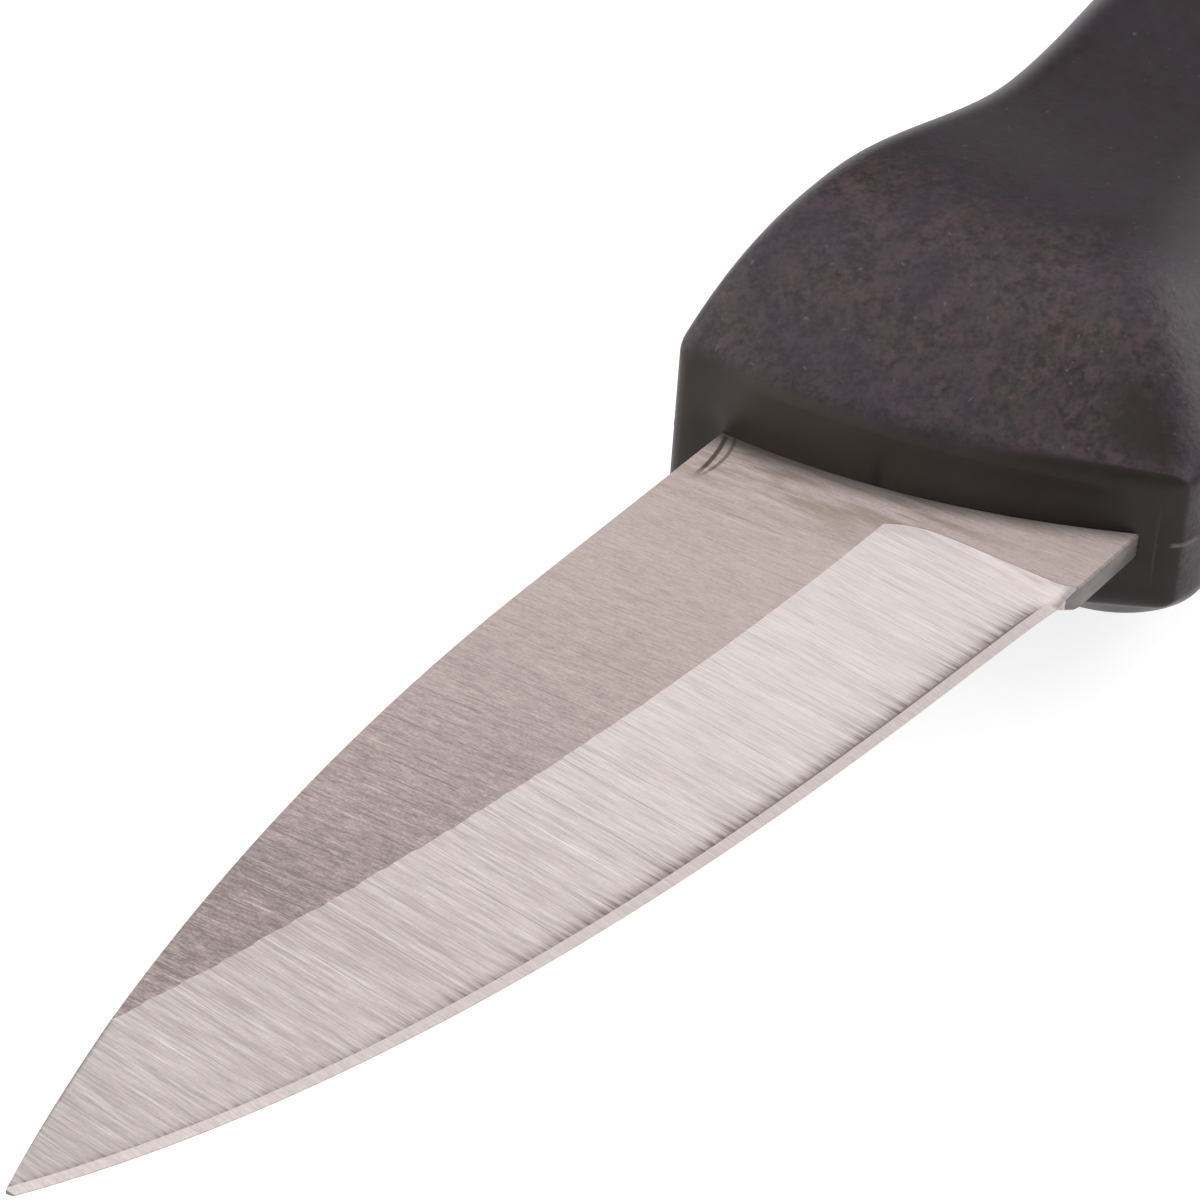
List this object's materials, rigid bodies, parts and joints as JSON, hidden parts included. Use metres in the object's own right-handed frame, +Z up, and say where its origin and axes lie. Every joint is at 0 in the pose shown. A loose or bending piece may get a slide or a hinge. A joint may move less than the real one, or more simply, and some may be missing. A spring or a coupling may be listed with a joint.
{
  "type": "paring knife",
  "caption": "Small kitchen paring knife: a pointed stainless blade ground on both cheeks, fixed in a moulded black handle with a flared front, a finger groove and a fine grain.",
  "frame": {"origin": "middle of the knife's bounding box, at the underside of the handle as the knife lies on its right side", "axes": "+X from the butt to the tip, +Y from the spine to the cutting edge, +Z up, out of the left cheek of the blade"},
  "size_m": [0.176, 0.0298, 0.021],
  "materials": {
    "blade_steel": "stainless steel, brushed from the spine to the edge, brighter on the ground bevels",
    "core_plastic": "smooth satin black plastic",
    "grip_plastic": "matt black plastic with a fine spark-eroded grain"
  },
  "bodies": {
    "root": {"blade": "blade_steel", "handle_core": "core_plastic", "handle_grip": "grip_plastic"}
  },
  "joints": []
}
